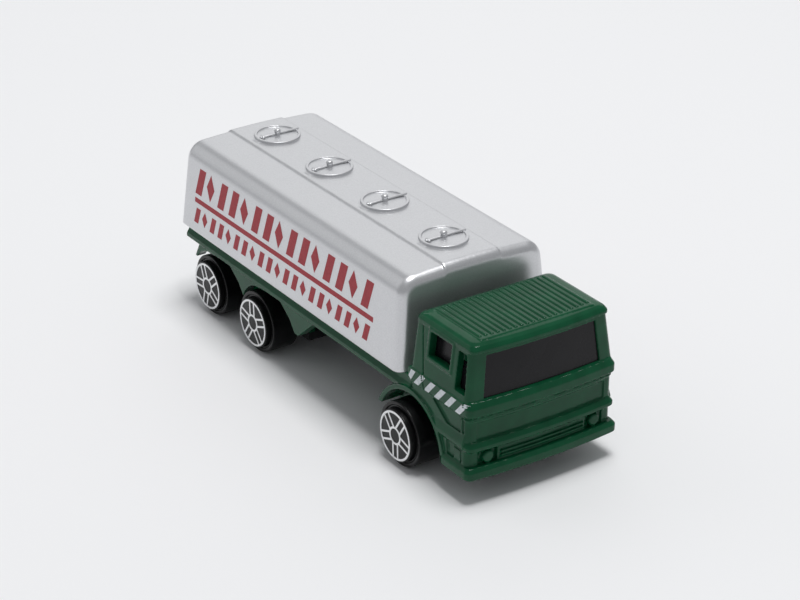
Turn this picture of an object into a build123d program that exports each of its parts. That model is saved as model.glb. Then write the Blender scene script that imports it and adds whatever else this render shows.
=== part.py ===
from build123d import *
import math
import os

# Toy tanker lorry, millimetres. +X is forward, +Y is the lorry's left side and +Z is up.
# The origin is the middle of the overall box, on the ground.

# Overall sizes and axle places
overall_length = 76.0
front_x = overall_length / 2
rear_x = -overall_length / 2
front_overhang = 15.0  # front axle to the bumper
rear_overhang = 7.25  # rear axle to the tank's end
rear_spread = 14.35  # between the two rear axles
front_track = 28.7  # over the outer faces of the wheels
rear_track = 25.6
axle_shift = {"front": 0.0, "middle": -0.3, "rear": 0.3}  # where each axle lies in its side play

# Axles and wheels
wheel_radius = 4.7
axle_radius = 0.6
axle_end_depth = 1.4  # from the wheel's outer face to the end of the axle
running_clearance = 0.06  # radial, axle in its slot
press_interference = 0.01  # radial, axle in the wheel
end_gap = 0.1  # axle end to the bottom of its blind hole
side_play = 0.5  # wheel's inner face to the web beside it, with the axle centred

disc_radius = 3.8
disc_height = 0.75  # outer disc beyond the tyre's side
disc_chamfer = 0.12
tyre_width = 4.2
side_radius = 4.15  # flat of the tyre's side
step_depth = 0.3
shoulder = 0.45
hub_radius = 1.5
rim_wall = 0.75
rim_depth = 3.0
rim_taper = 0.3

# Foil printed on the wheel discs
foil_thickness = 0.06
foil_radius = 3.6
foil_line = 0.3
foil_hub_radius = 1.05
spoke_pairs = 5
spoke_offset = 0.55  # each spoke of a pair from the pair's centre line
foil_phase = {
    "front_right": 57.0,
    "middle_right": 21.0,
    "rear_right": 40.0,
    "front_left": 12.0,
    "middle_left": 65.0,
    "rear_left": 33.0,
}

# Tank moulding
tank_bottom = 13.0
cab_gap = 1.4  # tank to the back of the cab
tank_half_width = 12.95  # at the bottom edge
tank_height = 13.15  # to the edge of the crown
tank_crown = 0.45
side_draft = 0.09
end_draft = 0.07
tank_wall = 0.9
tank_shoulder = 2.8  # rounding along the upper edges
tank_end_edge = 1.5  # and round the ends
least_rounding = 0.4
band_half_width = 4.6
band_step = 0.25

# Hatches along the band
hatch_count = 4
hatch_pitch = 14.5
hatch_radius = 3.5
hatch_height = 0.35
hatch_rim = 0.45
hatch_dish = 0.18
latch_length = 6.7
latch_width = 0.6
latch_height = 0.45
latch_shift = 0.35  # the latch bar's middle, off the lid's
knob_radius = 0.6
knob_height = 0.85
lug_length = 0.8
lug_width = 1.3

# Stakes that hold the tank on the deck
stake_spread = 29.5
stake_post_radius = 1.7
stake_radius = 0.9
stake_clearance = 0.1
stake_head_radius = 1.6
stake_head_height = 0.8

# Deck, rails and skirts of the casting
deck_thickness = 1.2
deck_half_width = 12.2
deck_setback = 0.8  # from the tank's end
rail_height = 2.4
rail_width = 1.3
rail_flare = 0.45  # the rail's lower half stands out by this
flare_height = 1.3
web_thickness = 1.2
skirt_thickness = 1.6
skirt_inset = 0.4  # from the rail's outer face
skirt_bottom = 6.7
skirt_arch_radius = 5.3
skirt_flare = ((5.4, 10.4), (8.2, 8.4), (9.6, 6.6))  # front side of an arch: x from the axle, z
guard_top = 2.6  # the mudguard behind the rear wheel: x from the axle at the rail
guard_low = 4.65  # and at its tip
guard_tip_z = 8.0
skirt_tip = 10.6  # front end of the skirt's lower edge, from the middle axle
skirt_reach = 16.5  # and of its upper edge

# Front wheel arch
arch_radius = 7.3
arch_offset = 0.5  # the arch's centre ahead of the axle
arch_z = 3.5
arch_wall = 0.7
arch_well_top = 12.0
lip_width = 0.8
lip_out = 0.35
guard_rear_bottom = 6.5  # lower end of the mudguard behind the wheel

# Cab of the casting
cab_length = 14.0
cab_bottom = 4.5
cab_belt = 15.0
cab_shoulder = 22.3
cab_top = 23.05
cab_half_width = 12.1
cab_roof_half_width = 11.2
cab_lean = 0.6  # the windscreen's lean
cab_back_lean = 0.15
front_bow = 0.65  # the front stands out by this in the middle
cab_corner = 1.0
cab_wall = 1.1
visor = 0.45
roof_side_lip = 0.1
roof_skirt = 0.5  # how far the roof reaches down below the shoulder
roof_edge = ((0.0, 0.8), (0.35, 0.3), (0.9, 0.07), (1.6, 0.0))  # rounding: inset, drop from the top
rib_count = 20
rib_height = 0.3
rib_width = 0.5
rib_pitch = 0.93
rib_margin_rear = 1.5  # ribs from the back of the cab
rib_margin_front = 1.8
rib_pad = 0.1  # the ribbed panel stands out by this
rib_root = 0.2

# Bars across the front: low z, top of the face, top of the slope, how far they stand out,
# how far they stand out at the sides, and how far back they reach
upper_bar = (12.7, 14.2, 15.0, 0.7, 0.2, 3.4)
under_bar = (11.9, 12.5, 12.8, 0.2, 0.1, 3.4)
middle_bar = (7.5, 8.4, 9.0, 0.65, 0.2, 3.4)
bumper = (3.5, 4.9, 5.4, 1.0, 0.55, 6.4)
bar_edge = 0.4
panel_half_width = 10.6
panel_depth = 0.25
panel_margin = 0.15

# Side of the cab
belt_bottom = 12.9
belt_top = 14.85
belt_out = 0.2
belt_end = 0.7  # the belt stops this far from the front corner
ridge = ((7.9, 0.0), (8.1, 0.35), (8.7, 0.35), (9.9, 0.0))  # section: z, how far out
pocket_depth = 0.3
upper_pocket = ((8.6, 12.5), (2.1, 12.5), (2.1, 10.1), (5.2, 10.1))  # x behind the front, z
lower_pocket = ((5.3, 7.7), (1.8, 7.7), (1.8, 5.6), (5.1, 5.6))
slot_pocket = ((1.75, 12.6), (1.4, 12.6), (1.4, 10.2), (1.75, 10.2))
pad = (3.6, 2.2, 5.6, 7.2)  # raised pad in the lower pocket: x behind the front, z
pad_out = 0.2

# Lamps and grille
lamp_y = 8.85
lamp_z = 6.4
lamp_radius = 0.9
lamp_recess_half = 1.5
lamp_recess = 0.5
lamp_out = 0.3
lamp_edge = 0.3
slat_count = 2
slat_height = 0.25
slat_pitch = 0.6
slat_half_width = 6.9
slat_out = 0.35
slat_root = 0.3

# Windows
screen_bottom = 15.1
screen_top = 21.2
screen_half_width_bottom = 9.6
screen_half_width_top = 8.9
door_window = (10.0, 5.2, 17.9, 21.5)  # x behind the front, low z, high z
quarter_window = (3.8, 1.5, 15.8, 21.4)
quarter_depth = 1.7  # how far in the quarter window is cut
door_frame = 0.45
door_frame_out = 0.15
shut_line = 0.25
shut_depth = 0.25
shut_top_x = 12.1  # behind the front, at the roof
shut_low_x = 10.5  # and at the bottom of the belt
shut_margin = 0.6

# Glazing insert
glazing_wall = 0.8
glazing_clearance = 0.08
glazing_roof_gap = 0.3
glazing_rear = 11.8  # behind the front

# Base plate and its rivets
base_thickness = 1.2
base_rear_margin = 2.4  # from the tank's end
base_front_margin = 2.0  # from the cab's front
base_wide_reach = 6.4  # the rear wide part ends this far ahead of the middle axle
beam_half_width = 4.2
base_gap = 0.1
rivet_rear_reach = 7.0  # from the middle axle
rivet_front_margin = 5.0  # from the bumper
rivet_post_radius = 1.9
rivet_radius = 0.8
rivet_hole_radius = 0.9
rivet_length = 4.5
rivet_head_radius = 1.5
rivet_head_height = 0.6
rivet_post_top = 9.0
rivet_tip_gap = 0.3

overlap = 0.2  # how far joined shapes run into each other
far = 100.0  # beyond the whole toy

front_axle_x = front_x - front_overhang
rear_axle_x = rear_x + rear_overhang
middle_axle_x = rear_axle_x + rear_spread
rear_axles = (middle_axle_x, rear_axle_x)
axle_height = wheel_radius
plate_top = axle_height - axle_radius - running_clearance  # upper face of the base plate
base_bottom = plate_top - base_thickness

cab_front = front_x - bumper[3]
cab_rear = cab_front - cab_length
tank_front = cab_rear - cab_gap
tank_middle = (rear_x + tank_front) / 2
tank_top = tank_bottom + tank_height + tank_crown
band_top = tank_top + band_step
stake_x = (tank_middle - stake_spread / 2, tank_middle + stake_spread / 2)

deck_rear = rear_x + deck_setback
deck_bottom = tank_bottom - deck_thickness
rail_bottom = tank_bottom - rail_height
web_outer = rear_track / 2 - disc_height - tyre_width - side_play
well_inner = front_track / 2 - disc_height - tyre_width - side_play - web_thickness
well_outer = well_inner + web_thickness
arch_x = front_axle_x + arch_offset
cab_side_front = cab_front - front_bow
lamp_face_x = cab_front - front_bow * (lamp_y / cab_half_width) ** 2
side_lean = (cab_half_width - cab_roof_half_width) / (cab_shoulder - cab_belt)
rivet_x = (middle_axle_x + rivet_rear_reach, front_x - rivet_front_margin)


def box(x0, x1, y0, y1, z0, z1):
    middle = ((x0 + x1) / 2, (y0 + y1) / 2, (z0 + z1) / 2)
    return Pos(*middle) * Box(x1 - x0, y1 - y0, z1 - z0)


def pillar(x, y, radius, z0, z1):
    return Pos(x, y, (z0 + z1) / 2) * Cylinder(radius, z1 - z0)


def across(x, z, radius, y0, y1):
    """A cylinder along Y."""
    return Pos(x, (y0 + y1) / 2, z) * Rot(X=90) * Cylinder(radius, abs(y1 - y0))


def on_side(side, inner, outer):
    """The y range from inner to outer on the right, side -1, or on the left, side 1."""
    return sorted((side * inner, side * outer))


def both_sides(make):
    """The union of a solid on the right and its twin on the left."""
    return make(-1) + make(1)


def plan(z, x0, x1, half_width, corner):
    """A rounded rectangle at height z, with its front side bowed."""
    side = x1 - front_bow
    right = (side, -half_width)
    left = (side, half_width)
    rest = Polyline(left, (x0, half_width), (x0, -half_width), right)
    outline = make_face(rest + ThreePointArc(right, (x1, 0), left))
    return Pos(0, 0, z) * fillet(outline.vertices(), corner)


def stack(*layers):
    """Straight-sided lofts from each layer to the next, made one solid."""
    lofts = [loft([plan(*low), plan(*high)], ruled=True) for low, high in zip(layers, layers[1:])]
    return lofts[0].fuse(*lofts[1:]) if len(lofts) > 1 else lofts[0]


def side_extrude(points, y0, y1):
    """A polygon of (x, z) points, extruded from y0 to y1."""
    face = make_face(Polyline(*[(x, y0, z) for x, z in points], close=True))
    return extrude(face, y1 - y0, dir=(0, 1, 0))


def long_extrude(points, x0, x1):
    """A polygon of (y, z) points, extruded from x0 to x1."""
    face = make_face(Polyline(*[(x0, y, z) for y, z in points], close=True))
    return extrude(face, x1 - x0, dir=(1, 0, 0))


# Tank


def tank_block(inset=0, lift=0):
    """The tank's outer block with its edges rounded, inset by a wall or with its top lifted."""
    middle = tank_bottom + tank_height / 2
    top = tank_bottom + tank_height + lift
    half = tank_half_width - inset
    half_top = half - side_draft * tank_height
    left = (-half_top, top - inset)
    right = (half_top, top - inset)
    sides = Polyline(right, (half, tank_bottom), (-half, tank_bottom), left)
    section = make_face(sides + ThreePointArc(left, (0, top + tank_crown - inset), right))
    shoulders = [v for v in section.vertices() if v.Y > middle]
    section = fillet(shoulders, max(tank_shoulder - inset, least_rounding))
    body = extrude(Plane.YZ * section, overall_length, both=True)
    rear = rear_x + inset
    front = tank_front - inset
    lean = end_draft * 2 * tank_height
    above = tank_bottom + 2 * tank_height
    ends = [(rear, tank_bottom), (front, tank_bottom), (front - lean, above), (rear + lean, above)]
    block = body & side_extrude(ends, -far, far)
    end_faces = (block.faces().sort_by(Axis.X)[0], block.faces().sort_by(Axis.X)[-1])
    rims = [e for face in end_faces for e in face.edges() if e.bounding_box().max.Z > tank_bottom + inset + least_rounding]
    return fillet(rims, max(tank_end_edge - inset, least_rounding))


def hatch(x):
    """One lid on the band: a dished disc with a rim, a latch bar with a knob, and a lug."""
    top = band_top + hatch_height
    dish = top - hatch_dish
    root = band_top - overlap
    lid = pillar(x, 0, hatch_radius, root, top)
    lid -= pillar(x, 0, hatch_radius - hatch_rim, dish, top + 1)
    bar = Pos(x, latch_shift, dish + latch_height / 2) * Box(latch_width, latch_length, latch_height)
    knob = pillar(x, 0, knob_radius, dish, top + knob_height)
    lug_top = top - hatch_dish / 2
    lug = Pos(x, -hatch_radius, (root + lug_top) / 2) * Box(lug_width, lug_length, lug_top - root)
    return lid + bar + knob + lug


def tank():
    band = tank_block(lift=band_step) & box(-far, far, -band_half_width, band_half_width, 0, far)
    shell = tank_block() + band - tank_block(tank_wall)
    for index in range(hatch_count):
        shell += hatch(tank_middle + (index - (hatch_count - 1) / 2) * hatch_pitch)
    for x in stake_x:
        head_bottom = deck_bottom - stake_head_height
        shell += pillar(x, 0, stake_post_radius, tank_bottom, tank_top - tank_wall / 2)
        shell += pillar(x, 0, stake_radius, head_bottom, tank_bottom)
        shell += pillar(x, 0, stake_head_radius, head_bottom, deck_bottom)
    return shell


# Chassis of the casting


def rail(side):
    """The rail down one edge of the deck: its lower half flares out."""
    outer = deck_half_width
    inner = outer - rail_width
    points = [
        (inner, tank_bottom),
        (outer - rail_flare, tank_bottom),
        (outer - rail_flare, rail_bottom + flare_height),
        (outer, rail_bottom + flare_height / 2),
        (outer, rail_bottom),
        (inner, rail_bottom),
    ]
    return long_extrude([(side * y, z) for y, z in points], deck_rear, cab_rear)


def deck():
    """The flat deck under the tank, with a rail down each edge and across the tail."""
    half = deck_half_width - rail_width / 2
    plate = box(deck_rear, cab_rear + cab_wall, -half, half, deck_bottom, tank_bottom)
    for x in stake_x:
        plate -= pillar(x, 0, stake_radius + stake_clearance, deck_bottom - 1, tank_bottom + 1)
    half = deck_half_width - rail_flare
    tail = box(deck_rear, deck_rear + rail_width, -half, half, rail_bottom, tank_bottom)
    return plate + both_sides(rail) + tail


def skirt(side):
    """The side plate under the rail: what the arches of the rear wheels leave of it."""
    outer = deck_half_width - skirt_inset
    y0, y1 = on_side(side, outer - skirt_thickness, outer)
    top = deck_bottom
    outline = [
        (rear_axle_x - guard_top, top),
        (rear_axle_x - guard_low, guard_tip_z),
        (rear_axle_x, skirt_bottom),
        (middle_axle_x + skirt_tip, skirt_bottom),
        (middle_axle_x + skirt_reach, top),
    ]
    plate = side_extrude(outline, y0, y1)
    for x in rear_axles:
        flare = [(x + dx, z) for dx, z in skirt_flare]
        low = [(flare[-1][0], 0), (x, 0)]
        plate -= across(x, axle_height, skirt_arch_radius, -far, far)
        plate -= side_extrude([(x, axle_height + skirt_arch_radius), *flare, *low], -far, far)
    return plate


def slot(x, y0, y1):
    """The open slot that an axle lies in, with a half-round top."""
    radius = axle_radius + running_clearance
    return across(x, axle_height, radius, y0, y1) + box(x - radius, x + radius, y0, y1, 0, axle_height)


def rear_web(side):
    """The web inboard of the rear wheels, slotted for both axles."""
    y0, y1 = on_side(side, web_outer - web_thickness, web_outer)
    end = middle_axle_x + base_wide_reach
    web = box(rear_x + base_rear_margin + 1, end, y0, y1, plate_top, deck_bottom + overlap)
    for x in rear_axles:
        web -= slot(x, y0 - 1, y1 + 1)
    return web


def front_well(side):
    """The mudguard's shell, the ledge that the glazing stands on and the slotted wall inboard."""
    y0, y1 = on_side(side, well_inner, cab_half_width)
    shell = across(arch_x, arch_z, arch_radius + arch_wall, y0, y1)
    shell -= box(-far, arch_x, -far, far, -far, guard_rear_bottom)
    shell -= box(-far, far, -far, far, -far, cab_bottom)
    y0, y1 = on_side(side, well_inner, cab_half_width - cab_wall)
    front = arch_x + arch_radius + arch_wall
    ledge = box(cab_rear + cab_wall, front, y0, y1, arch_z + arch_radius / 2, arch_well_top)
    y0, y1 = on_side(side, well_inner, well_outer)
    ends = (arch_x - arch_radius, arch_x + arch_radius)
    wall = box(*ends, y0, y1, plate_top, arch_z + arch_radius)
    return (shell + ledge + wall) - slot(front_axle_x, -far, far)


def arch_cut(side):
    y0, y1 = on_side(side, well_outer, far)
    return across(arch_x, arch_z, arch_radius, y0, y1)


def arch_lip(side):
    y0, y1 = on_side(side, cab_half_width - lip_width, cab_half_width + lip_out)
    ring = across(arch_x, arch_z, arch_radius + lip_width, y0, y1)
    ring -= box(-far, arch_x, -far, far, -far, guard_rear_bottom)
    return ring - box(-far, far, -far, far, -far, cab_bottom)


# Cab of the casting


def cab_outer():
    top_rear = cab_rear + cab_back_lean
    top_front = cab_front - cab_lean
    belt = (cab_belt, cab_rear, cab_front, cab_half_width, cab_corner)
    lower = stack((cab_bottom, *belt[1:]), belt)
    upper = stack(belt, (cab_shoulder, top_rear, top_front, cab_roof_half_width, cab_corner))
    edge = top_front + visor
    half = cab_roof_half_width + roof_side_lip
    layers = [(cab_shoulder - roof_skirt, top_rear, edge, half, cab_corner)]
    for inset, drop in roof_edge:
        layers.append((cab_top - drop, top_rear + inset, edge - inset, half - inset, cab_corner))
    return lower + upper + stack(*layers)


def cab_cavity():
    inner_rear = cab_rear + cab_wall
    inner_front = cab_front - cab_wall
    inner_half = cab_half_width - cab_wall
    corner = cab_corner / 2
    ceiling = cab_shoulder - glazing_roof_gap
    belt = (cab_belt, inner_rear, inner_front, inner_half, corner)
    top = (ceiling, inner_rear + cab_back_lean, inner_front - cab_lean, cab_roof_half_width - cab_wall, corner)
    return stack((0, *belt[1:]), belt) + stack(belt, top)


def front_bar(low, face_top, high, out, side_out, reach):
    """A bar across the front with a sloping top, turned round both corners."""
    rear = cab_front - reach
    front = cab_front + out
    half = cab_half_width + side_out
    return stack(
        (low, rear, front - bar_edge, half - bar_edge, cab_corner),
        (low + bar_edge, rear, front, half, cab_corner),
        (face_top, rear, front, half, cab_corner),
        (high, rear, front - bar_edge, half - bar_edge, cab_corner),
    )


def front_block(out, low, high):
    """A block with the plan of the cab, its front face stood out by out."""
    outline = (cab_rear, cab_front + out, cab_half_width, cab_corner)
    return stack((low, *outline), (high, *outline))


def belt(side):
    y0, y1 = on_side(side, cab_half_width - cab_wall, cab_half_width + belt_out)
    return box(cab_rear, cab_side_front - belt_end, y0, y1, belt_bottom, belt_top)


def side_ridge(side):
    """The ridge that runs from the wheel arch to the front corner."""
    inner = cab_half_width - cab_wall
    points = [(inner, ridge[-1][0]), (inner, ridge[0][0]), *[(cab_half_width + out, z) for z, out in ridge]]
    return long_extrude([(side * y, z) for y, z in points], arch_x, cab_side_front - cab_corner / 2)


def side_pocket(side, corners):
    """A shallow pocket in the cab's side. Its corners are x behind the cab's front, and z."""
    y0, y1 = on_side(side, cab_half_width - pocket_depth, cab_half_width + 2)
    return side_extrude([(cab_front - back, z) for back, z in corners], y0, y1)


def side_pad(side):
    rear, front, low, high = pad
    y0, y1 = on_side(side, cab_half_width - cab_wall, cab_half_width - pocket_depth + pad_out)
    return box(cab_front - rear, cab_front - front, y0, y1, low, high)


def roof_ribs():
    """The ribbed panel on the roof."""
    rear = cab_rear + rib_margin_rear
    front = cab_front - rib_margin_front
    root = cab_top - rib_root
    edge = rib_count * rib_pitch / 2
    panel = box(rear, front, -edge, edge, root, cab_top + rib_pad)
    for index in range(rib_count):
        y = (index - (rib_count - 1) / 2) * rib_pitch
        panel += box(rear, front, y - rib_width / 2, y + rib_width / 2, root, cab_top + rib_height)
    return panel


def screen_cut():
    low = screen_half_width_bottom
    high = screen_half_width_top
    points = [(-low, screen_bottom), (low, screen_bottom), (high, screen_top), (-high, screen_top)]
    return long_extrude(points, cab_side_front - 2 * cab_wall, cab_front + 2)


def door_cut(side):
    back, ahead, low, high = door_window
    y0, y1 = on_side(side, cab_roof_half_width - 2 * cab_wall, cab_half_width + 2)
    return box(cab_front - back, cab_front - ahead, y0, y1, low, high)


def quarter_cut(side):
    """The quarter window's cut: its front side leans with the windscreen."""
    back, ahead, low, high = quarter_window
    lean = cab_lean / (cab_shoulder - cab_belt)
    y0, y1 = on_side(side, cab_half_width - quarter_depth, cab_half_width + 2)
    rear = cab_front - back
    front = cab_front - ahead
    points = [(rear, low), (front, low), (front - lean * (high - low), high), (rear, high)]
    return side_extrude(points, y0, y1)


def side_slab(side, low, high, inner, outer):
    """A slab that follows the leaning side above the belt, from inner to outer of its face."""
    points = []
    for z, out in ((low, inner), (low, outer), (high, outer), (high, inner)):
        points.append((side * (cab_half_width - side_lean * (z - cab_belt) + out), z))
    return long_extrude(points, cab_rear, cab_front)


def door_trim(side):
    """A raised frame round the door's window."""
    back, ahead, low, high = door_window
    slab = side_slab(side, low - door_frame, high + door_frame, -cab_wall / 2, door_frame_out)
    rear = cab_front - back - door_frame
    front = cab_front - ahead + door_frame
    return slab & box(rear, front, -far, far, 0, far)


def shut_groove(side):
    """The door's rear shut line, slanted, cut into the leaning side and the belt."""
    low = belt_bottom
    high = cab_shoulder - shut_margin
    top_x = cab_front - shut_top_x
    low_x = cab_front - shut_low_x
    points = [(low_x, low), (low_x + shut_line, low), (top_x + shut_line, high), (top_x, high)]
    line = side_extrude(points, -far, far)
    y0, y1 = on_side(side, cab_half_width + belt_out - shut_depth, far)
    straight = box(cab_rear, cab_front, y0, y1, belt_bottom, belt_top)
    return (side_slab(side, belt_top, high, -shut_depth, 2) + straight) & line


def lamp(side):
    length = lamp_out + cab_wall
    middle = lamp_face_x + lamp_out - length / 2
    boss = Rot(Y=90) * Cylinder(lamp_radius, length)
    boss = fillet(boss.edges().group_by(Axis.X)[-1], lamp_edge)
    return Pos(middle, side * lamp_y, lamp_z) * boss


def lamp_cut(side):
    """The recess round a lamp, between the bumper and the middle bar."""
    y0, y1 = on_side(side, lamp_y - lamp_recess_half, lamp_y + lamp_recess_half)
    return box(lamp_face_x - lamp_recess, front_x, y0, y1, bumper[2], middle_bar[0])


def grille():
    """Slats between the lamps."""
    slats = []
    for index in range(slat_count):
        z = lamp_z + (index - (slat_count - 1) / 2) * slat_pitch
        low, high = z - slat_height / 2, z + slat_height / 2
        room = box(cab_side_front - slat_root, front_x, -slat_half_width, slat_half_width, low, high)
        slats.append(room & front_block(slat_out, low, high))
    return slats


def cab():
    """The cab's shell with its bars, wheel wells, lamps and openings."""
    shell = cab_outer() + roof_ribs() + both_sides(belt) + both_sides(side_ridge)
    for bar in (upper_bar, under_bar, middle_bar, bumper):
        shell += front_bar(*bar)
    shell -= cab_cavity()
    shell -= box(cab_rear - 1, cab_rear + cab_wall + overlap, -well_outer, well_outer, 0, deck_bottom)
    shell += both_sides(front_well)
    shell += both_sides(arch_lip)
    for slat in grille():
        shell += slat
    shell -= both_sides(lamp_cut)
    shell += both_sides(lamp)
    low = middle_bar[2] + panel_margin
    high = under_bar[0] - panel_margin
    panel = box(cab_side_front - panel_depth, front_x, -panel_half_width, panel_half_width, low, high)
    shell -= panel - front_block(-panel_depth, low, high)
    for corners in (upper_pocket, lower_pocket, slot_pocket):
        shell -= both_sides(lambda side: side_pocket(side, corners))
    shell += both_sides(side_pad)
    shell += both_sides(door_trim)
    shell -= screen_cut()
    for cut in (door_cut, quarter_cut, shut_groove):
        shell -= both_sides(cut)
    return shell


def rivet_posts():
    """The posts that the base's rivets go into, the front one ribbed to the cab's front."""
    rear, front = rivet_x
    radius = rivet_post_radius
    posts = pillar(rear, 0, radius, plate_top, deck_bottom + overlap)
    posts += pillar(front, 0, radius, plate_top, rivet_post_top)
    return posts + box(front, cab_front - overlap, -radius, radius, plate_top, rivet_post_top)


def casting():
    body = cab() + deck() + both_sides(skirt) + both_sides(rear_web) + rivet_posts()
    body -= both_sides(arch_cut)
    for x in rivet_x:
        body -= pillar(x, 0, rivet_radius, plate_top - 1, base_bottom + rivet_length + rivet_tip_gap)
    return body


# Glazing and base


def glazing_shell(inset):
    """The block that fills the cab's cavity above the wheel wells, smaller by inset."""
    wall = cab_wall + inset
    corner = cab_corner / 2
    rear = cab_rear + wall
    front = cab_front - wall
    belt = (cab_belt, rear, front, cab_half_width - wall, corner)
    top = cab_shoulder - glazing_roof_gap - inset
    upper = (top, rear + cab_back_lean, front - cab_lean, cab_roof_half_width - wall, corner)
    return stack((arch_well_top, *belt[1:]), belt) + stack(belt, upper)


def glazing():
    """The tinted shell behind the windows, open at the bottom and the rear."""
    insert = glazing_shell(glazing_clearance) - glazing_shell(glazing_clearance + glazing_wall)
    return insert - box(-far, cab_front - glazing_rear, -far, far, 0, far)


def base():
    """The flat base: wide at the wheels and a narrow beam between."""
    rear = rear_x + base_rear_margin
    front = cab_front - base_front_margin
    half = beam_half_width
    plate = box(rear, front, -half, half, base_bottom, plate_top)
    wide_end = middle_axle_x + base_wide_reach
    plate += box(rear, wide_end, -web_outer, web_outer, base_bottom, plate_top)
    plate += box(arch_x - arch_radius, front, -well_outer, well_outer, base_bottom, plate_top)
    for x in rivet_x:
        plate -= pillar(x, 0, rivet_hole_radius, base_bottom - 1, plate_top + 1)
        plate -= pillar(x, 0, rivet_head_radius + base_gap, base_bottom - 1, base_bottom + rivet_head_height)
    return plate


def rivet(x):
    head = pillar(x, 0, rivet_head_radius, base_bottom, base_bottom + rivet_head_height)
    return head + pillar(x, 0, rivet_radius, base_bottom, base_bottom + rivet_length)


# Wheels


def axle(x, track, shift):
    half = track / 2 - axle_end_depth
    return across(x, axle_height, axle_radius, shift - half, shift + half)


def wheel(x, track, side, shift):
    """One-piece wheel: tyre, stepped side, outer disc and a blind hub."""
    outer = track / 2
    face = outer - disc_height
    inner = face - tyre_width
    bore = axle_radius - press_interference
    bore_end = outer - axle_end_depth + end_gap
    hollow = wheel_radius - rim_wall
    profile = Polyline(
        (0, bore_end),
        (0, outer),
        (disc_radius - disc_chamfer, outer),
        (disc_radius, outer - disc_chamfer),
        (disc_radius, face - step_depth),
        (side_radius, face - step_depth),
        (side_radius, face),
        (wheel_radius - shoulder / 2, face),
        (wheel_radius, face - shoulder),
        (wheel_radius, inner + shoulder / 2),
        (wheel_radius - shoulder / 2, inner),
        (hollow, inner),
        (hollow - rim_taper, inner + rim_depth),
        (hub_radius, inner + rim_depth),
        (hub_radius, inner),
        (bore, inner),
        (bore, bore_end),
        close=True,
    )
    body = revolve(make_face(profile), Axis.Y)
    if side < 0:
        body = mirror(body, Plane.XZ)
    return Pos(x, shift, axle_height) * body


def foil(x, track, side, shift, phase):
    """The silver pattern on the disc: a ring, a hub ring and pairs of spokes."""
    pattern = Circle(foil_radius) - Circle(foil_radius - foil_line)
    pattern += Circle(foil_hub_radius + foil_line) - Circle(foil_hub_radius)
    inner = math.sqrt(max((foil_hub_radius + foil_line / 2) ** 2 - spoke_offset**2, 0))
    outer = foil_radius - foil_line / 2
    for pair in range(spoke_pairs):
        for offset in (-spoke_offset, spoke_offset):
            spoke = Pos((inner + outer) / 2, offset) * Rectangle(outer - inner, foil_line)
            pattern += Rot(Z=phase + pair * 360 / spoke_pairs) * spoke
    layer = extrude(pattern, foil_thickness)
    turn = Rot(X=90) if side < 0 else Rot(X=-90)
    return Pos(x, side * track / 2 + shift, axle_height) * turn * layer


os.makedirs("parts", exist_ok=True)


def write(name, shape):
    export_step(shape, f"parts/{name}.step")


write("tank_body", tank())
write("cab_chassis", casting())
write("window_insert", glazing())
write("base_plate", base())
write("base_rivets", Compound(children=[rivet(x) for x in rivet_x]))

axle_places = {
    "front": (front_axle_x, front_track),
    "middle": (middle_axle_x, rear_track),
    "rear": (rear_axle_x, rear_track),
}
for place, (x, track) in axle_places.items():
    shift = axle_shift[place]
    write(f"{place}_axle", axle(x, track, shift))
    for hand, side in (("right", -1), ("left", 1)):
        write(f"{place}_{hand}_wheel", wheel(x, track, side, shift))
        phase = foil_phase[f"{place}_{hand}"]
        write(f"{place}_{hand}_foil", foil(x, track, side, shift, phase))
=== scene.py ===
import math

import bmesh
import bpy
from mathutils import Matrix, Vector
from mathutils.bvhtree import BVHTree


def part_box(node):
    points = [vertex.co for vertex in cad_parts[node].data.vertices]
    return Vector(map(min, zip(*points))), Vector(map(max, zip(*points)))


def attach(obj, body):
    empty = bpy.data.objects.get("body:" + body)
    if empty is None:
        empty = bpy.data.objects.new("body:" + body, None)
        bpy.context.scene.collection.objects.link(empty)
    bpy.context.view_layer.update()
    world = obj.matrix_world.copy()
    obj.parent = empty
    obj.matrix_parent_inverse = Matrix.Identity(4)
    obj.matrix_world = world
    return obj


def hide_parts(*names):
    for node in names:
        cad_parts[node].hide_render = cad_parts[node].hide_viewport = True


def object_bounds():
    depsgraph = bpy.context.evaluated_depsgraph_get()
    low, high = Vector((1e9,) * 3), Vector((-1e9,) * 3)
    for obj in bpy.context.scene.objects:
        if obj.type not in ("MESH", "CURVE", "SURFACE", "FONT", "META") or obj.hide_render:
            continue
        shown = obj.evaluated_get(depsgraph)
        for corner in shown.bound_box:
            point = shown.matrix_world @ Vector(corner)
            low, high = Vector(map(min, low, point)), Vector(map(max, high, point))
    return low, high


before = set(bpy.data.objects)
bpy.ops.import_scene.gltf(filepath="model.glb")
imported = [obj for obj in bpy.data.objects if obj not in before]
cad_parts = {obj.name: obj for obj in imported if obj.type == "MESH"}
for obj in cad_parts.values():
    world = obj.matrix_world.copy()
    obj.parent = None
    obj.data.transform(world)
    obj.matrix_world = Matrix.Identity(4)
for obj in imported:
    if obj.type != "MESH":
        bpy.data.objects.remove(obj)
cadLow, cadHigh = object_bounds()
mm = 0.001
scene = bpy.context.scene
print("frame loaded:", len(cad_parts), "nodes")


def addObject(name, data):
    piece = bpy.data.objects.new(name, data)
    scene.collection.objects.link(piece)
    return piece


def addNode(tree, kind, x=0, y=0, **values):
    node = tree.nodes.new(kind)
    node.location = (x, y)
    for key, value in values.items():
        setattr(node, key, value)
    return node


def makeGroup(name, inputs, outputs):
    group = bpy.data.node_groups.new(name, "ShaderNodeTree")
    for label, kind, start in inputs:
        socket = group.interface.new_socket(label, in_out="INPUT", socket_type=kind)
        socket.default_value = start
    for label, kind in outputs:
        group.interface.new_socket(label, in_out="OUTPUT", socket_type=kind)
    return group, addNode(group, "NodeGroupInput", -900), addNode(group, "NodeGroupOutput", 700)


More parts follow.
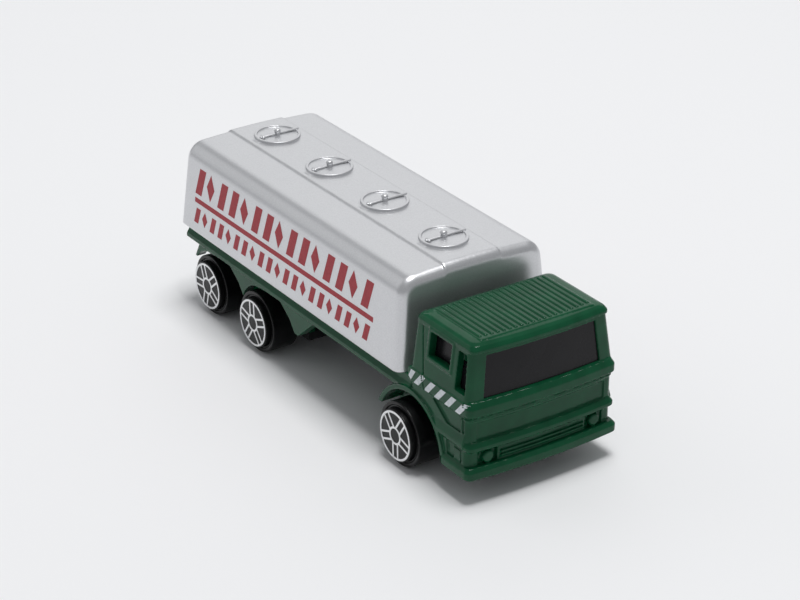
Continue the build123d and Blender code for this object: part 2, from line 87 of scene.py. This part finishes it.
def useGroup(material, group, x=-600, y=0, **values):
    node = addNode(material.node_tree, "ShaderNodeGroup", x, y, node_tree=group)
    for key, value in values.items():
        node.inputs[key].default_value = value
    return node


def newMaterial(name, specular, **values):
    material = bpy.data.materials.new(name)
    material.use_nodes = True
    shader = material.node_tree.nodes["Principled BSDF"]
    shader.inputs["Specular IOR Level"].default_value = specular
    for key, value in values.items():
        shader.inputs[key].default_value = value
    return material, shader


def setMaterial(piece, material):
    piece.data.materials.clear()
    piece.data.materials.append(material)


def finishPiece(piece, material, body, slot, *replaced):
    # every new piece gets its finish and its body, and the CAD nodes that it stands for are hidden
    setMaterial(piece, material)
    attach(piece, body)
    if replaced:
        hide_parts(*replaced)
    return piece


cameraSetup = {
    "position": (0.25796, -0.17371, 0.16783),
    "lookAt": (0.00569, -0.00185, 0.01456),
    "rollDegrees": 0.228,
    "focalLength": 108.6,     # millimetres on a 36 mm sensor
    "clipStart": 0.01,
}

studioSetup = {
    "worldColour": (0.95, 0.97, 1.0),
    "worldStrength": 0.32,
    "aim": (0, 0, 0.012),
    "lamps": {
        "overheadLamp": {"place": (0.04, 0.10, 1.10), "size": 0.46, "power": 7.4},
        # the back and side lamps shine along the tops and shoulders
        "backLamp": {"place": (-0.75, 0.55, 0.50), "size": 0.90, "power": 1.15},
        "sideLamp": {"place": (-0.70, -0.48, 0.48), "size": 0.80, "power": 0.6},
        # points of light on edges
        "sparkLamp": {"place": (0.12, -0.02, 0.60), "size": 0.05, "power": 0.20},
    },
}


def aimAt(place, target):
    return (Vector(target) - Vector(place)).to_track_quat("-Z", "Y").to_matrix().to_4x4()


def makeCamera(setup):
    data = bpy.data.cameras.new("viewCamera")
    data.lens = setup["focalLength"]
    data.clip_start = setup["clipStart"]
    camera = addObject("viewCamera", data)
    roll = Matrix.Rotation(math.radians(setup["rollDegrees"]), 4, "Z")
    turn = aimAt(setup["position"], setup["lookAt"])
    camera.matrix_world = Matrix.Translation(setup["position"]) @ turn @ roll
    scene.camera = camera


def makeStudio(setup):
    world = bpy.data.worlds.new("paleRoom")
    scene.world = world
    world.use_nodes = True
    background = world.node_tree.nodes["Background"]
    background.inputs["Color"].default_value = (*setup["worldColour"], 1)
    background.inputs["Strength"].default_value = setup["worldStrength"]
    for name, lamp in setup["lamps"].items():
        data = bpy.data.lights.new(name, "AREA")
        data.shape = "DISK"
        data.size = lamp["size"]
        data.energy = lamp["power"]
        light = addObject(name, data)
        turn = aimAt(lamp["place"], setup["aim"])
        light.matrix_world = Matrix.Translation(lamp["place"]) @ turn


floorSetup = {"size": 3.0, "colour": (0.86, 0.862, 0.87), "roughness": 0.8, "specular": 0.1}


def makeFloor(setup):
    half = setup["size"] / 2
    spots = ((-half, -half), (half, -half), (half, half), (-half, half))
    mesh = bpy.data.meshes.new("paleFloor")
    mesh.from_pydata([(x, y, cadLow.z) for x, y in spots], [], [(0, 1, 2, 3)])
    floor = addObject("paleFloor", mesh)
    material, shader = newMaterial("palePaper", setup["specular"], Roughness=setup["roughness"])
    shader.inputs["Base Color"].default_value = (*setup["colour"], 1)
    setMaterial(floor, material)


makeCamera(cameraSetup)
makeStudio(studioSetup)
makeFloor(floorSetup)
scene.view_settings.view_transform = "Standard"
print("camera, lights and floor ready")


def makeUnevenness():
    # slow swell of a sprayed or moulded surface, as a height and as a value that runs from 0 to 1
    group, start, end = makeGroup(
        "unevenSurface",
        [("Scale", "NodeSocketFloat", 900.0), ("Detail", "NodeSocketFloat", 2.0)],
        [("Height", "NodeSocketFloat"), ("Value", "NodeSocketFloat")],
    )
    place = addNode(group, "ShaderNodeTexCoord", -700)
    noise = addNode(group, "ShaderNodeTexNoise", -400)
    link = group.links.new
    link(place.outputs["Object"], noise.inputs["Vector"])
    link(start.outputs["Scale"], noise.inputs["Scale"])
    link(start.outputs["Detail"], noise.inputs["Detail"])
    link(noise.outputs["Fac"], end.inputs["Height"])
    link(noise.outputs["Fac"], end.inputs["Value"])
    return group


def makeSpecks():
    # scattered dust and pinholes: a mask that is 1 inside each speck
    group, start, end = makeGroup(
        "dustSpecks",
        [
            ("Scale", "NodeSocketFloat", 420.0),
            ("Size", "NodeSocketFloat", 0.06),
            ("Rarity", "NodeSocketFloat", 0.9),
        ],
        [("Mask", "NodeSocketFloat")],
    )
    place = addNode(group, "ShaderNodeTexCoord", -800)
    cells = addNode(group, "ShaderNodeTexVoronoi", -600)
    near = addNode(group, "ShaderNodeMath", -300, 100, operation="LESS_THAN")
    split = addNode(group, "ShaderNodeSeparateColor", -300, -100)
    rare = addNode(group, "ShaderNodeMath", -100, -100, operation="GREATER_THAN")
    both = addNode(group, "ShaderNodeMath", 200, 0, operation="MULTIPLY")
    link = group.links.new
    link(place.outputs["Object"], cells.inputs["Vector"])
    link(start.outputs["Scale"], cells.inputs["Scale"])
    link(cells.outputs["Distance"], near.inputs[0])
    link(start.outputs["Size"], near.inputs[1])
    link(cells.outputs["Color"], split.inputs["Color"])
    link(split.outputs["Red"], rare.inputs[0])
    link(start.outputs["Rarity"], rare.inputs[1])
    link(near.outputs[0], both.inputs[0])
    link(rare.outputs[0], both.inputs[1])
    link(both.outputs[0], end.inputs["Mask"])
    return group


def makeTwoTone():
    # mixes two colours by a mask that is softened between two levels
    group, start, end = makeGroup(
        "twoTone",
        [
            ("Mask", "NodeSocketFloat", 0.5),
            ("Low", "NodeSocketFloat", 0.4),
            ("High", "NodeSocketFloat", 0.6),
            ("First", "NodeSocketColor", (0, 0, 0, 1)),
            ("Second", "NodeSocketColor", (1, 1, 1, 1)),
        ],
        [("Color", "NodeSocketColor")],
    )
    spread = addNode(group, "ShaderNodeMapRange", -300)
    mix = addNode(group, "ShaderNodeMix", 200, 0, data_type="RGBA")
    link = group.links.new
    link(start.outputs["Mask"], spread.inputs["Value"])
    link(start.outputs["Low"], spread.inputs["From Min"])
    link(start.outputs["High"], spread.inputs["From Max"])
    link(spread.outputs["Result"], mix.inputs["Factor"])
    link(start.outputs["First"], mix.inputs[6])
    link(start.outputs["Second"], mix.inputs[7])
    link(mix.outputs[2], end.inputs["Color"])
    return group


unevenSurface = makeUnevenness()
dustSpecks = makeSpecks()
twoTone = makeTwoTone()


def addBump(material, height, distance):
    bump = addNode(material.node_tree, "ShaderNodeBump", -250, -400)
    bump.inputs["Distance"].default_value = distance
    material.node_tree.links.new(height, bump.inputs["Height"])
    shader = material.node_tree.nodes["Principled BSDF"]
    material.node_tree.links.new(bump.outputs["Normal"], shader.inputs["Normal"])


def addRange(material, value, low, high):
    spread = addNode(material.node_tree, "ShaderNodeMapRange", -250, -200)
    spread.inputs["To Min"].default_value = low
    spread.inputs["To Max"].default_value = high
    material.node_tree.links.new(value, spread.inputs["Value"])
    return spread.outputs["Result"]


def addColour(material, mask, first, second, low=0.35, high=0.65, x=-300, y=200):
    mixed = useGroup(material, twoTone, x, y, Low=low, High=high)
    mixed.inputs["First"].default_value = (*first, 1)
    mixed.inputs["Second"].default_value = (*second, 1)
    material.node_tree.links.new(mask, mixed.inputs["Mask"])
    return mixed


# sprayed finishes: a fine grain, a slow swell in the gloss, and specks of dirt
sprayLooks = {
    "silverPaint": {
        "colour": (0.70, 0.705, 0.72), "darker": (0.64, 0.645, 0.66), "dirt": (0.16, 0.15, 0.14),
        "metallic": 0.80, "specular": 0.5, "roughness": (0.30, 0.40),
        "coat": 0.0, "coatRoughness": 0.06,
        "grainScale": 5200.0, "swellScale": 260.0, "toneRange": (0.3, 0.7), "bump": 0.005 * mm,
        "speckScale": 300.0, "speckSize": 0.05, "speckRarity": 0.94,
    },
    "greenEnamel": {
        "colour": (0.0040, 0.074, 0.030), "darker": (0.0030, 0.058, 0.0235),
        "dirt": (0.08, 0.12, 0.10),
        "metallic": 0.0, "specular": 0.17, "roughness": (0.16, 0.24),
        "coat": 0.11, "coatRoughness": 0.06,
        "grainScale": 380.0, "swellScale": 380.0, "toneRange": (0.3, 0.7), "bump": 0.010 * mm,
        "speckScale": 420.0, "speckSize": 0.05, "speckRarity": 0.96,
    },
}


def makeSprayed(name, look):
    material, shader = newMaterial(name, look["specular"], Metallic=look["metallic"])
    shader.inputs["Coat Weight"].default_value = look["coat"]
    shader.inputs["Coat Roughness"].default_value = look["coatRoughness"]
    link = material.node_tree.links.new
    grain = useGroup(material, unevenSurface, -900, 200, Scale=look["grainScale"], Detail=1.0)
    swell = useGroup(material, unevenSurface, -900, -200, Scale=look["swellScale"], Detail=3.0)
    specks = useGroup(material, dustSpecks, -900, 500, Scale=look["speckScale"])
    specks.inputs["Size"].default_value = look["speckSize"]
    specks.inputs["Rarity"].default_value = look["speckRarity"]
    tone = addColour(
        material, grain.outputs["Value"], look["darker"], look["colour"], *look["toneRange"], -600
    )
    dirty = addColour(
        material, specks.outputs["Mask"], look["colour"], look["dirt"], 0.0, 1.0, -300, 300
    )
    link(tone.outputs["Color"], dirty.inputs["First"])
    link(dirty.outputs["Color"], shader.inputs["Base Color"])
    link(addRange(material, swell.outputs["Value"], *look["roughness"]), shader.inputs["Roughness"])
    addBump(material, grain.outputs["Height"], look["bump"])
    return material


plainLooks = {
    "wheelBlack": {
        "first": (0.0035, 0.0035, 0.004), "second": (0.006, 0.006, 0.0065),
        "metallic": 0.0, "specular": 0.22, "roughness": (0.20, 0.30),
        "scale": 700.0, "bump": 0.004 * mm,
    },
    "baseBlack": {
        "first": (0.010, 0.010, 0.011), "second": (0.018, 0.018, 0.019),
        "metallic": 0.0, "specular": 0.3, "roughness": (0.5, 0.65),
        "scale": 1500.0, "bump": 0.012 * mm,
    },
    "smokedPlastic": {
        "first": (0.0075, 0.007, 0.0084), "second": (0.0100, 0.0095, 0.011),
        "metallic": 0.0, "specular": 0.2, "roughness": (0.22, 0.32),
        "scale": 260.0, "bump": 0.002 * mm,
    },
    "silverFoil": {
        "first": (0.82, 0.83, 0.84), "second": (0.92, 0.92, 0.93),
        "metallic": 0.6, "specular": 0.5, "roughness": (0.30, 0.46),
        "scale": 2600.0, "bump": 0.004 * mm,
    },
    "wireSteel": {
        "first": (0.42, 0.42, 0.43), "second": (0.58, 0.58, 0.59),
        "metallic": 1.0, "specular": 0.5, "roughness": (0.28, 0.42),
        "scale": 1800.0, "bump": 0.004 * mm,
    },
    "redInk": {
        "first": (0.37, 0.030, 0.042), "second": (0.43, 0.042, 0.055),
        "metallic": 0.0, "specular": 0.3, "roughness": (0.40, 0.55),
        "scale": 2400.0, "bump": 0.003 * mm,
    },
    "whiteInk": {
        "first": (0.60, 0.65, 0.68), "second": (0.74, 0.77, 0.80),
        "metallic": 0.0, "specular": 0.3, "roughness": (0.3, 0.45),
        "scale": 1600.0, "bump": 0.004 * mm,
    },
}


def makeMottled(name, look):
    material, shader = newMaterial(name, look["specular"], Metallic=look["metallic"])
    link = material.node_tree.links.new
    swell = useGroup(material, unevenSurface, -900, 0, Scale=look["scale"], Detail=2.0)
    tone = addColour(material, swell.outputs["Value"], look["first"], look["second"])
    link(tone.outputs["Color"], shader.inputs["Base Color"])
    link(addRange(material, swell.outputs["Value"], *look["roughness"]), shader.inputs["Roughness"])
    addBump(material, swell.outputs["Height"], look["bump"])
    return material


finishes = {name: makeSprayed(name, look) for name, look in sprayLooks.items()}
finishes.update({name: makeMottled(name, look) for name, look in plainLooks.items()})
print("finishes ready:", len(finishes))


# castings and mouldings with soft edges, from the CAD shapes; ribs and hatches are cut off here
# and made again below
softShapes = {
    "cab_chassis": {
        "name": "cabCasting", "finish": "greenEnamel", "slot": "green_paint",
        "voxel": 0.10 * mm, "passes": 5, "keep": 0.40, "cutFromTop": 0.18 * mm,
    },
    "tank_body": {
        "name": "tankMoulding", "finish": "silverPaint", "slot": "silver_paint",
        "voxel": 0.10 * mm, "passes": 7, "keep": 0.26, "cutFromTop": 1.16 * mm,
    },
}
weldDistance = 0.0005 * mm


def cutTop(mesh, height):
    solid = bmesh.new()
    solid.from_mesh(mesh)
    bmesh.ops.remove_doubles(solid, verts=solid.verts, dist=weldDistance)
    everything = [*solid.verts, *solid.edges, *solid.faces]
    bmesh.ops.bisect_plane(
        solid, geom=everything, plane_co=(0, 0, height), plane_no=(0, 0, 1), clear_outer=True
    )
    rim = [edge for edge in solid.edges if edge.is_boundary]
    bmesh.ops.holes_fill(solid, edges=rim, sides=0)
    solid.to_mesh(mesh)
    solid.free()


def softenShape(node, recipe):
    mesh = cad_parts[node].data.copy()
    cutTop(mesh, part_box(node)[1].z - recipe["cutFromTop"])
    piece = addObject(recipe["name"], mesh)
    remesh = piece.modifiers.new("voxels", "REMESH")
    remesh.mode = "VOXEL"
    remesh.voxel_size = recipe["voxel"]
    smooth = piece.modifiers.new("soften", "SMOOTH")
    smooth.iterations = recipe["passes"]
    thin = piece.modifiers.new("thin", "DECIMATE")
    thin.ratio = recipe["keep"]
    piece.modifiers.new("weigh", "WEIGHTED_NORMAL")
    graph = bpy.context.evaluated_depsgraph_get()
    piece.data = bpy.data.meshes.new_from_object(piece.evaluated_get(graph))
    piece.modifiers.clear()
    piece.data.shade_smooth()
    return finishPiece(piece, finishes[recipe["finish"]], "lorry", recipe["slot"], node)


cabCasting = softenShape("cab_chassis", softShapes["cab_chassis"])
tankMoulding = softenShape("tank_body", softShapes["tank_body"])
for piece in (cabCasting, tankMoulding):
    print(piece.name, "softened:", len(piece.data.polygons), "faces")


def addRings(solid, rings, closed=False):
    # joins rings of points into a skin, and caps both ends unless the rings meet
    rows = [[solid.verts.new(point) for point in ring] for ring in rings]
    pairs = list(zip(rows, rows[1:]))
    if closed:
        pairs.append((rows[-1], rows[0]))
    count = len(rows[0])
    for low, high in pairs:
        for index in range(count):
            after = (index + 1) % count
            solid.faces.new((low[index], low[after], high[after], high[index]))
    if not closed:
        solid.faces.new(list(reversed(rows[0])))
        solid.faces.new(rows[-1])


def bendCorners(points, rounding, steps=4):
    # replaces each inner corner of an outline with a short curve
    bent = [Vector(points[0])]
    for index in range(1, len(points) - 1):
        before, corner, after = [Vector(point) for point in points[index - 1:index + 2]]
        reach = min(rounding, (before - corner).length / 2, (after - corner).length / 2)
        start = corner + (before - corner).normalized() * reach
        end = corner + (after - corner).normalized() * reach
        for step in range(steps + 1):
            t = step / steps
            bent.append(start * (1 - t) ** 2 + corner * 2 * t * (1 - t) + end * t ** 2)
    bent.append(Vector(points[-1]))
    return bent


smallestRing = 0.002 * mm     # keeps the rings on the axis from closing to a point


def turnProfile(solid, outline, centre, axis, segments):
    # a lathe: the outline is (radius, distance along the axis) from the centre outwards and back
    axis = Vector(axis).normalized()
    side = axis.orthogonal().normalized()
    up = axis.cross(side)
    rings = []
    for radius, along in outline:
        ring = []
        for index in range(segments):
            angle = 2 * math.pi * index / segments
            spoke = side * math.cos(angle) + up * math.sin(angle)
            ring.append(Vector(centre) + axis * along + spoke * max(radius, smallestRing))
        rings.append(ring)
    addRings(solid, rings)


def addBar(solid, start, end, halfWidth, halfHeight, around=12, endSteps=4, tipSize=0.02):
    # a bar with an oval section and rounded ends, lying between two points
    start, end = Vector(start), Vector(end)
    along = (end - start).normalized()
    across = Vector((0, 0, 1)).cross(along)
    length = (end - start).length
    stops = []
    for step in range(endSteps + 1):
        turn = math.pi / 2 * step / endSteps
        stops.append((halfWidth * (1 - math.cos(turn)), max(math.sin(turn), tipSize)))
    stops += [(length - travel, size) for travel, size in reversed(stops)]
    rings = []
    for travel, size in stops:
        ring = []
        for index in range(around):
            angle = 2 * math.pi * index / around
            spread = across * math.cos(angle) * halfWidth
            rise = Vector((0, 0, math.sin(angle) * halfHeight))
            ring.append(start + along * travel + (spread + rise) * size)
        rings.append(ring)
    addRings(solid, rings)


def joinLayers(solid, tops, roots, columns, rows):
    # skins two grids of points, one over the other, and closes the rim between them
    width = columns + 1
    for row in range(rows):
        for column in range(columns):
            cell = [row * width + column, row * width + column + 1]
            cell += [cell[1] + width, cell[0] + width]
            solid.faces.new([tops[index] for index in cell])
            solid.faces.new([roots[index] for index in reversed(cell)])
    rim = [row * width for row in range(rows)]
    rim += [rows * width + column for column in range(columns)]
    rim += [row * width + columns for row in range(rows, 0, -1)]
    rim += range(columns, 0, -1)
    for first, second in zip(rim, rim[1:] + rim[:1]):
        solid.faces.new((tops[first], tops[second], roots[second], roots[first]))


def meshObject(name, solid, sharpDegrees=40):
    bmesh.ops.recalc_face_normals(solid, faces=solid.faces)
    mesh = bpy.data.meshes.new(name)
    solid.to_mesh(mesh)
    solid.free()
    mesh.shade_smooth()
    mesh.set_sharp_from_angle(angle=math.radians(sharpDegrees))
    return addObject(name, mesh)


# ribs along the roof; x is measured back from the bumper
ribSetup = {
    "count": 20, "pitch": 0.93 * mm, "front": 2.95 * mm, "rear": 13.5 * mm, "bow": 0.45 * mm,
    "halfWidth": 0.34 * mm, "halfHeight": 0.27 * mm, "sink": 0.29 * mm,
}


def makeRibs(setup):
    solid = bmesh.new()
    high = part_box("cab_chassis")[1]
    middle = (setup["count"] - 1) / 2
    z = high.z - setup["sink"]
    for index in range(setup["count"]):
        share = (index - middle) / middle
        y = (index - middle) * setup["pitch"]
        start = (high.x - setup["rear"], y, z)
        end = (high.x - setup["front"] - setup["bow"] * share ** 2, y, z)
        addBar(solid, start, end, setup["halfWidth"], setup["halfHeight"])
    finishPiece(meshObject("roofRibs", solid), finishes["greenEnamel"], "lorry", "green_paint")


makeRibs(ribSetup)
print("roof ribs laid")


# hatches on the tank; drops are measured down from the top of the knobs
hatchSetup = {
    "count": 4, "pitch": 14.5 * mm, "radius": 3.5 * mm, "rim": 0.42 * mm, "rimHeight": 0.22 * mm,
    "lidDrop": 1.05 * mm, "rootDrop": 1.45 * mm, "rounding": 0.12 * mm, "lidSegments": 72,
    "crown": 0.10 * mm, "crownKnee": (0.6, 0.7),     # shares of the inner radius and of the crown
    "barFrom": -3.1 * mm, "barTo": 3.75 * mm, "barLift": 0.13 * mm,
    "barHalfWidth": 0.24 * mm, "barHalfHeight": 0.17 * mm,
    # share of the knob's radius, and drop in mm
    "knobOutline": ((0, 0), (0.7, 0.10), (1, 0.40), (0.75, 0.55), (0.8, 1.05)),
    "knobRadius": 0.55 * mm, "knobSegments": 28,
    "lugAt": -2.6 * mm, "lugHalfLength": 0.5 * mm,
    "lugHalfWidth": 0.30 * mm, "lugHalfHeight": 0.225 * mm,
}


def makeHatch(number, x, setup):
    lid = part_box("tank_body")[1].z - setup["lidDrop"]
    rimTop = lid + setup["rimHeight"]
    radius = setup["radius"]
    inner = radius - setup["rim"]
    across, rise = setup["crownKnee"]
    outline = [
        (0, setup["crown"]), (inner * across, setup["crown"] * rise), (inner, 0),
        (inner, setup["rimHeight"]), (radius, setup["rimHeight"]),
        (radius, setup["lidDrop"] - setup["rootDrop"]),
    ]
    dome = [
        (setup["knobRadius"] * share, setup["lidDrop"] - drop * mm)
        for share, drop in setup["knobOutline"]
    ]
    centre, upright = (x, 0, lid), (0, 0, 1)
    solid = bmesh.new()
    lidCurve = bendCorners(outline, setup["rounding"])
    turnProfile(solid, lidCurve, centre, upright, setup["lidSegments"])
    barZ = lid + setup["crown"] + setup["barLift"]
    bar = ((x, setup["barFrom"], barZ), (x, setup["barTo"], barZ))
    addBar(solid, *bar, setup["barHalfWidth"], setup["barHalfHeight"])
    knobCurve = bendCorners(dome, setup["rounding"])
    turnProfile(solid, knobCurve, centre, upright, setup["knobSegments"])
    half = setup["lugHalfLength"]
    lug = ((x - half, setup["lugAt"], rimTop), (x + half, setup["lugAt"], rimTop))
    addBar(solid, *lug, setup["lugHalfWidth"], setup["lugHalfHeight"])
    piece = meshObject(f"hatchLid{number}", solid)
    finishPiece(piece, finishes["silverPaint"], "lorry", "silver_paint")


tankLow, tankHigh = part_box("tank_body")
for number in range(hatchSetup["count"]):
    offset = (number - (hatchSetup["count"] - 1) / 2) * hatchSetup["pitch"]
    makeHatch(number + 1, (tankLow.x + tankHigh.x) / 2 + offset, hatchSetup)
print("hatches made")


# the raised pane of the glazing that fills the windscreen; x is measured back from the bumper
paneSetup = {
    "front": 1.0 * mm, "recess": 0.28 * mm, "lean": 0.082, "bow": 0.65 * mm, "bowHalf": 12.1 * mm,
    "low": 14.95 * mm, "high": 21.35 * mm, "halfLow": 9.75 * mm, "halfHigh": 9.05 * mm,
    "thickness": 0.6 * mm, "columns": 24, "rows": 8,
}


def makePane(setup):
    solid = bmesh.new()
    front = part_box("cab_chassis")[1].x - setup["front"] - setup["recess"]
    columns, rows = setup["columns"], setup["rows"]
    layers = []
    for depth in (0, setup["thickness"]):
        layer = []
        for row in range(rows + 1):
            share = row / rows
            z = setup["low"] * (1 - share) + setup["high"] * share
            half = setup["halfLow"] * (1 - share) + setup["halfHigh"] * share
            for column in range(columns + 1):
                y = half * (2 * column / columns - 1)
                back = setup["lean"] * (z - setup["low"])
                back += setup["bow"] * (y / setup["bowHalf"]) ** 2
                layer.append(solid.verts.new((front - back - depth, y, z)))
        layers.append(layer)
    joinLayers(solid, *layers, columns, rows)
    piece = meshObject("windscreenPane", solid)
    finishPiece(piece, finishes["smokedPlastic"], "lorry", "smoked_glazing")


# wheels turned as on a lathe: radius and depth behind the outer face, both in mm
wheelSetup = {
    "outline": (
        (0, 0), (3.8, 0), (3.8, 1.05), (4.14, 1.05), (4.14, 0.75), (4.7, 0.75), (4.7, 4.95),
        (3.95, 4.95), (3.65, 1.95), (1.5, 1.95), (1.5, 4.95), (0.59, 4.95), (0.59, 1.3), (0, 1.3),
    ),
    "rounding": 0.16 * mm, "segments": 96, "sharpDegrees": 60,
}


def makeWheel(place, hand, setup):
    node = f"{place}_{hand}_wheel"
    low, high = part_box(node)
    side = -1 if hand == "right" else 1
    face = low.y if side < 0 else high.y
    centre = ((low.x + high.x) / 2, face, (low.z + high.z) / 2)
    outline = [(radius * mm, depth * mm) for radius, depth in setup["outline"]]
    curve = bendCorners(outline, setup["rounding"])
    solid = bmesh.new()
    turnProfile(solid, curve, centre, (0, -side, 0), setup["segments"])
    piece = meshObject(f"{place}{hand.capitalize()}Wheel", solid, setup["sharpDegrees"])
    finishPiece(piece, finishes["wheelBlack"], place + "_axle_set", "wheel_plastic", node)


makePane(paneSetup)
for place in ("front", "middle", "rear"):
    for hand in ("right", "left"):
        makeWheel(place, hand, wheelSetup)
print("pane fitted and wheels turned")


# printed marks lie on the softened surfaces: each is a thin patch between four corners, as (x, z)
inkHeight = 0.025 * mm
inkRoot = 0.03 * mm
rayStart = 0.05     # beside the model, well clear of it


def addPatch(solid, surface, side, corners, columns, rows):
    lowLeft, lowRight, highRight, highLeft = [Vector(corner) for corner in corners]
    spots = []
    for row in range(rows + 1):
        v = row / rows
        for column in range(columns + 1):
            u = column / columns
            lower = lowLeft * (1 - u) + lowRight * u
            upper = highLeft * (1 - u) + highRight * u
            x, z = lower * (1 - v) + upper * v
            spot = surface.ray_cast(Vector((x, side * rayStart, z)), Vector((0, -side, 0)))[0]
            if spot is None:
                raise RuntimeError(f"a printed mark misses the surface at x {x:.4f}, z {z:.4f}")
            spots.append(spot)
    tops = [solid.verts.new(spot + Vector((0, side * inkHeight, 0))) for spot in spots]
    roots = [solid.verts.new(spot - Vector((0, side * inkRoot, 0))) for spot in spots]
    joinLayers(solid, tops, roots, columns, rows)


def surfaceOf(piece):
    return BVHTree.FromObject(piece, bpy.context.evaluated_depsgraph_get())


def slanted(x, low, high, width, lean):
    # a slanted block: its foot starts at x, and its top is further forward by the lean
    return ((x, low), (x + width, low), (x + width + lean, high), (x + lean, high))


def lozenge(x, low, high, width):
    middle = (low + high) / 2
    return ((x + width / 2, low), (x + width, middle), (x + width / 2, high), (x, middle))


# two rows of plain slanted blocks and lozenges with a rule between them
liverySetup = {
    "rearX": -33.6 * mm, "frontX": 14.8 * mm, "climb": 0.002,
    "upper": {"low": 19.2 * mm, "high": 23.4 * mm, "count": 15, "fill": 0.54, "lean": 1.1 * mm},
    "lower": {"low": 14.6 * mm, "high": 17.0 * mm, "count": 21, "fill": 0.52, "lean": 0.6 * mm},
    "lozengeWidth": 1.25,     # of a block's
    "ruleLow": 17.8 * mm, "ruleHigh": 18.55 * mm, "markGrid": (4, 4), "ruleGrid": (60, 1),
}


def makeLivery(hand, surface, setup):
    side = -1 if hand == "Right" else 1
    solid = bmesh.new()
    rear, front = setup["rearX"], setup["frontX"]

    def tilt(corners):
        return [(x, z + setup["climb"] * (x - rear)) for x, z in corners]

    for row in (setup["upper"], setup["lower"]):
        step = (front - rear) / row["count"]
        for index in range(row["count"]):
            x = rear + index * step
            width = step * row["fill"]
            if index % 3 == 1:
                shape = lozenge(x, row["low"], row["high"], width * setup["lozengeWidth"])
            else:
                shape = slanted(x, row["low"], row["high"], width, row["lean"])
            addPatch(solid, surface, side, tilt(shape), *setup["markGrid"])
    rule = slanted(rear, setup["ruleLow"], setup["ruleHigh"], front - rear, 0)
    addPatch(solid, surface, side, tilt(rule), *setup["ruleGrid"])
    finishPiece(meshObject("redTrim" + hand, solid), finishes["redInk"], "lorry", "silver_paint")


# white dashes along the belt of the cab, in mm; the second is split by the door's shut line
dashSetup = {
    # cut short by the back of the cab
    "first": ((23.15, 13.5), (23.7, 13.1), (24.75, 14.7), (23.75, 14.7)),
    "starts": (24.35, 26.75, 29.1, 31.5, 33.9),
    "low": 12.95, "high": 14.75, "width": 1.1, "lean": 1.6, "markGrid": (6, 6),
}


def makeDashes(hand, surface, setup):
    side = -1 if hand == "Right" else 1
    solid = bmesh.new()
    shapes = [setup["first"]]
    for start in setup["starts"]:
        dash = slanted(start, setup["low"], setup["high"], setup["width"], setup["lean"])
        shapes.append(dash)
    for shape in shapes:
        corners = [(x * mm, z * mm) for x, z in shape]
        addPatch(solid, surface, side, corners, *setup["markGrid"])
    piece = meshObject("whiteDashes" + hand, solid)
    finishPiece(piece, finishes["whiteInk"], "lorry", "green_paint")


tankSurface = surfaceOf(tankMoulding)
cabSurface = surfaceOf(cabCasting)
for hand in ("Right", "Left"):
    makeLivery(hand, tankSurface, liverySetup)
    makeDashes(hand, cabSurface, dashSetup)
print("printed marks laid")


# finishes of the CAD pieces that stay
keptFinishes = {
    "window_insert": "smokedPlastic",
    "base_plate": "baseBlack",
    "base_rivets": "wireSteel",
}
for place in ("front", "middle", "rear"):
    keptFinishes[place + "_axle"] = "wireSteel"
    for hand in ("right", "left"):
        keptFinishes[f"{place}_{hand}_foil"] = "silverFoil"
for node, finish in keptFinishes.items():
    setMaterial(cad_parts[node], finishes[finish])
print("CAD pieces finished:", len(keptFinishes))
